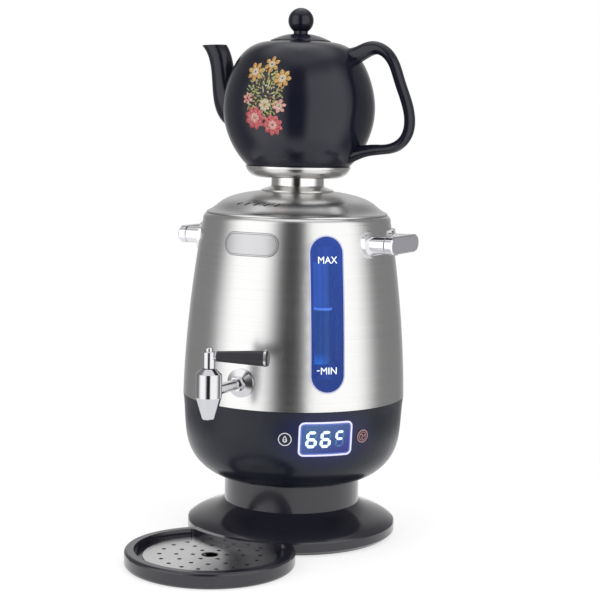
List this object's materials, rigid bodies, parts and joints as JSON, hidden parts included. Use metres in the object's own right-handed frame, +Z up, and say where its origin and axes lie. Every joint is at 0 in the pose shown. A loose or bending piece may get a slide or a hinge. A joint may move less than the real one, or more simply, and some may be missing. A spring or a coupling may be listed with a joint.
{
  "type": "samovar",
  "caption": "Electric samovar with a ceramic teapot on top: steel tank with level gauge, lever tap, digital display, side handles and drip tray.",
  "frame": {"origin": "on the table under the tank's axis", "axes": "+Z up along the tank's axis, -Y towards the tap"},
  "size_m": [0.2394, 0.3393, 0.5196],
  "materials": {
    "black_gloss": "gloss",
    "housing_black": "satin gloss",
    "inlet_black": "moulded",
    "rubber": "matt",
    "seal_rubber": "silicone",
    "contact_metal": "plated",
    "brushed_steel": "brushed",
    "lid_steel": "brushed round",
    "plain_steel": "plain",
    "heater_alloy": "cast",
    "heater_tube": "dull",
    "gauge_glass": "clear, lit blue",
    "gauge_inside": "moulded",
    "led_strip": "lit blue",
    "display_glass": "lit blue display",
    "display_dark": "moulded",
    "board_green": "circuit board",
    "button_black": "gloss",
    "plate_polish": "polished",
    "chrome": "polished",
    "grip_satin": "satin face, polished edges",
    "plug_brass": "turned",
    "lever_black": "satin",
    "neck_polish": "polished steel",
    "glaze": "gloss glaze with printed flowers",
    "drip_steel": "satin"
  },
  "bodies": {
    "root": {"pedestal_base": "black_gloss", "bottom_cover": "housing_black", "rubber_feet": "rubber", "lower_housing": "housing_black", "power_inlet": "inlet_black", "inlet_pins": "contact_metal", "tank_shell": "brushed_steel", "tank_floor": "plain_steel", "seam_seal": "seal_rubber", "heater_plate": "heater_alloy", "heating_element": "heater_tube", "thermostat": "heater_alloy", "thermal_cutout": "heater_alloy", "temperature_sensor": "heater_alloy", "tank_studs": "plain_steel", "stud_nuts": "plain_steel", "gauge_window": "gauge_glass", "gauge_gasket": "seal_rubber", "gauge_housing": "gauge_inside", "level_tube": "gauge_glass", "tube_caps": "gauge_inside", "gauge_led_strip": "led_strip", "display_window": "display_glass", "display_module": "display_dark", "control_board": "board_green", "board_screws": "plain_steel", "tact_switches": "display_dark", "name_plate": "plate_polish", "left_handle_flanges": "chrome", "left_handle_posts": "chrome", "left_handle_grip": "grip_satin", "right_handle_flanges": "chrome", "right_handle_posts": "chrome", "right_handle_grip": "grip_satin", "handle_screws": "plain_steel", "tap_flange": "chrome", "tap_washers": "seal_rubber", "tap_hex_nut": "chrome", "tap_inner_nut": "plain_steel", "tap_pipe": "chrome", "tap_barrel": "chrome", "tap_bonnet": "chrome"},
    "tap_lever": {"tap_plug": "plug_brass", "tap_lever": "chrome", "lever_cap_nut": "chrome", "lever_grip": "lever_black", "lever_ring": "chrome", "lever_end_cap": "lever_black"},
    "lid": {"samovar_lid": "lid_steel", "lid_skirt": "lid_steel", "lid_gasket": "seal_rubber", "neck_collar": "neck_polish", "neck_nut": "plain_steel", "teapot_dish": "neck_polish"},
    "teapot": {"teapot_body": "glaze"},
    "teapot_lid": {"teapot_lid": "glaze"},
    "tray": {"drip_tray": "black_gloss"},
    "tray_plate": {"drip_plate": "drip_steel"},
    "left_button": {"left_button": "button_black"},
    "right_button": {"right_button": "button_black"}
  },
  "joints": [
    {"name": "tap_turn", "type": "hinge", "parent": "root", "child": "tap_lever", "pos_m": [0, -0.168, 0.18], "axis": [0, 0, -1], "range_deg": [0, 90]},
    {"name": "lid_lift", "type": "slide", "parent": "root", "child": "lid", "axis": [0, 0, 1], "range_m": [0, 0.06]},
    {"name": "teapot_lift", "type": "slide", "parent": "lid", "child": "teapot", "axis": [0, 0, 1], "range_m": [0, 0.06]},
    {"name": "teapot_lid_lift", "type": "slide", "parent": "teapot", "child": "teapot_lid", "axis": [0, 0, 1], "range_m": [0, 0.04]},
    {"name": "tray_slide", "type": "slide", "parent": "root", "child": "tray", "axis": [-0.0471, -0.9989, 0], "range_m": [0, 0.12]},
    {"name": "tray_plate_lift", "type": "slide", "parent": "tray", "child": "tray_plate", "axis": [0, 0, 1], "range_m": [0, 0.04]},
    {"name": "left_button_press", "type": "slide", "parent": "root", "child": "left_button", "axis": [-0.6947, 0.7193, 0], "range_m": [0, 0.0008], "stiffness_N_per_m": 400},
    {"name": "right_button_press", "type": "slide", "parent": "root", "child": "right_button", "axis": [-0.6947, 0.7193, 0], "range_m": [0, 0.0008], "stiffness_N_per_m": 400}
  ]
}
